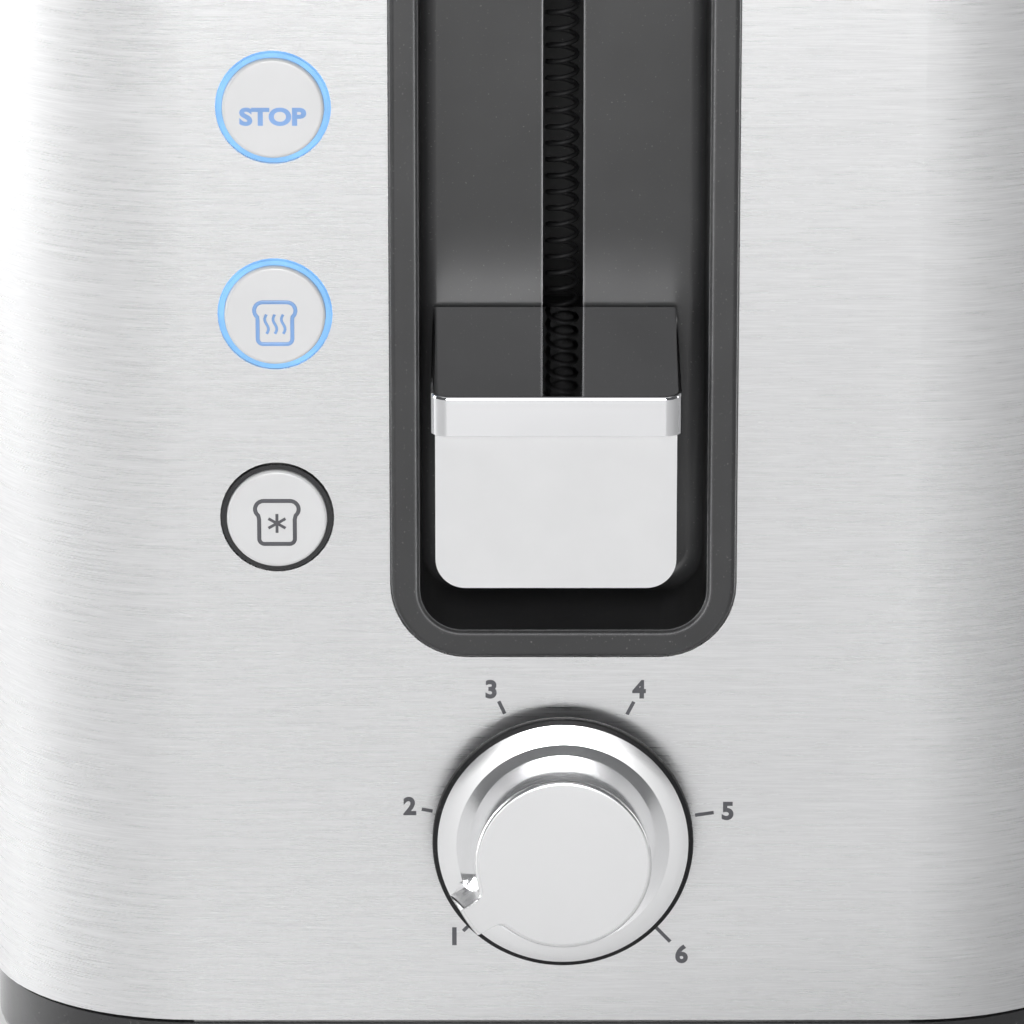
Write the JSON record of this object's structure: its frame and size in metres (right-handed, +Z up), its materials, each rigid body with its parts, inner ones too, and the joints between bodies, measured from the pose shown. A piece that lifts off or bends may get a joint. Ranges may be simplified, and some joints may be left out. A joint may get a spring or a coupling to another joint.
{
  "type": "pop-up toaster",
  "caption": "Brushed-steel pop-up toaster with long bread slots in the top, a lift lever in a recessed bay, a browning dial, lit push buttons and a crumb tray that slides out at the rear.",
  "frame": {"origin": "on the ground under the middle of the object", "axes": "-Y out of the control end with the lever and dial, +Y to the rear with the crumb tray, +X to the right seen from the front, +Z up"},
  "size_m": [0.178, 0.312, 0.21],
  "materials": {
    "shell": "brushed",
    "black_gloss": "gloss",
    "bay_grey": "semi-gloss",
    "chrome": "polished",
    "satin_metal": "satin",
    "satin_plastic": "satin",
    "lamp_blue": "translucent, lit",
    "lamp_off": "unlit",
    "rubber": "matte",
    "black_plastic": "matte",
    "sheet_steel": "zinc plated",
    "wire_steel": "bright",
    "mica": "flaky",
    "ribbon": "oxidised",
    "board_green": "lacquered",
    "iron": "ground",
    "copper": "enamelled wire",
    "white_plastic": "matte",
    "brass": "plain"
  },
  "bodies": {
    "housing": {"steel_shell": "shell", "top_cover": "shell", "base_moulding": "black_gloss", "foot_front_left": "rubber", "foot_front_right": "rubber", "foot_rear_left": "rubber", "foot_rear_right": "rubber", "base_screws": "sheet_steel", "front_chassis": "sheet_steel", "rear_chassis": "sheet_steel", "oven_top_frame": "sheet_steel", "chassis_screws": "sheet_steel", "reflector_left": "sheet_steel", "reflector_right": "sheet_steel", "mica_card_left": "mica", "mica_card_centre": "mica", "mica_card_right": "mica", "heater_ribbon_left": "ribbon", "heater_ribbon_centre": "ribbon", "heater_ribbon_right": "ribbon", "guard_left_outer": "wire_steel", "guard_left_inner": "wire_steel", "guard_right_inner": "wire_steel", "guard_right_outer": "wire_steel", "lever_bay": "bay_grey", "guide_rod": "wire_steel", "lift_spring": "wire_steel", "magnet_bracket": "sheet_steel", "magnet_core": "iron", "magnet_coil": "copper", "contact_block": "white_plastic", "dial_control": "black_plastic", "button_frame": "black_plastic", "light_ring_stop": "lamp_blue", "light_ring_reheat": "lamp_blue", "light_ring_defrost": "lamp_off", "stop_switch": "black_plastic", "reheat_switch": "black_plastic", "defrost_switch": "black_plastic", "control_board": "board_green", "board_screws": "sheet_steel", "cord_bushing": "black_plastic", "terminal_block": "white_plastic", "terminal_screws": "brass"},
    "lift": {"lever_cover": "chrome", "lever_body": "satin_plastic", "lever_screw": "sheet_steel", "carriage": "sheet_steel", "slide_bush_lower": "white_plastic", "slide_bush_upper": "white_plastic", "rack_left": "wire_steel", "rack_right": "wire_steel", "armature": "iron"},
    "dial": {"dial_knob": "satin_metal", "dial_shaft": "white_plastic"},
    "stop": {"stop_button": "satin_plastic"},
    "reheat": {"reheat_button": "satin_plastic"},
    "defrost": {"defrost_button": "satin_plastic"},
    "tray": {"crumb_tray": "sheet_steel", "tray_grip": "black_gloss"}
  },
  "joints": [
    {"name": "lever_lift", "type": "slide", "parent": "housing", "child": "lift", "axis": [0, 0, 1], "range_m": [0, 0.0638], "deforming": ["lift_spring"]},
    {"name": "dial_turn", "type": "hinge", "parent": "housing", "child": "dial", "pos_m": [0.0016, -0.142, 0.0445], "axis": [0, 1, 0], "range_deg": [-15, 262]},
    {"name": "stop_press", "type": "slide", "parent": "housing", "child": "stop", "axis": [0, 1, 0], "range_m": [0, 0.0009], "stiffness_N_per_m": 400},
    {"name": "reheat_press", "type": "slide", "parent": "housing", "child": "reheat", "axis": [0, 1, 0], "range_m": [0, 0.0009], "stiffness_N_per_m": 400},
    {"name": "defrost_press", "type": "slide", "parent": "housing", "child": "defrost", "axis": [0, 1, 0], "range_m": [0, 0.0009], "stiffness_N_per_m": 400},
    {"name": "tray_slide", "type": "slide", "parent": "housing", "child": "tray", "axis": [0, 1, 0], "range_m": [0, 0.215]}
  ]
}
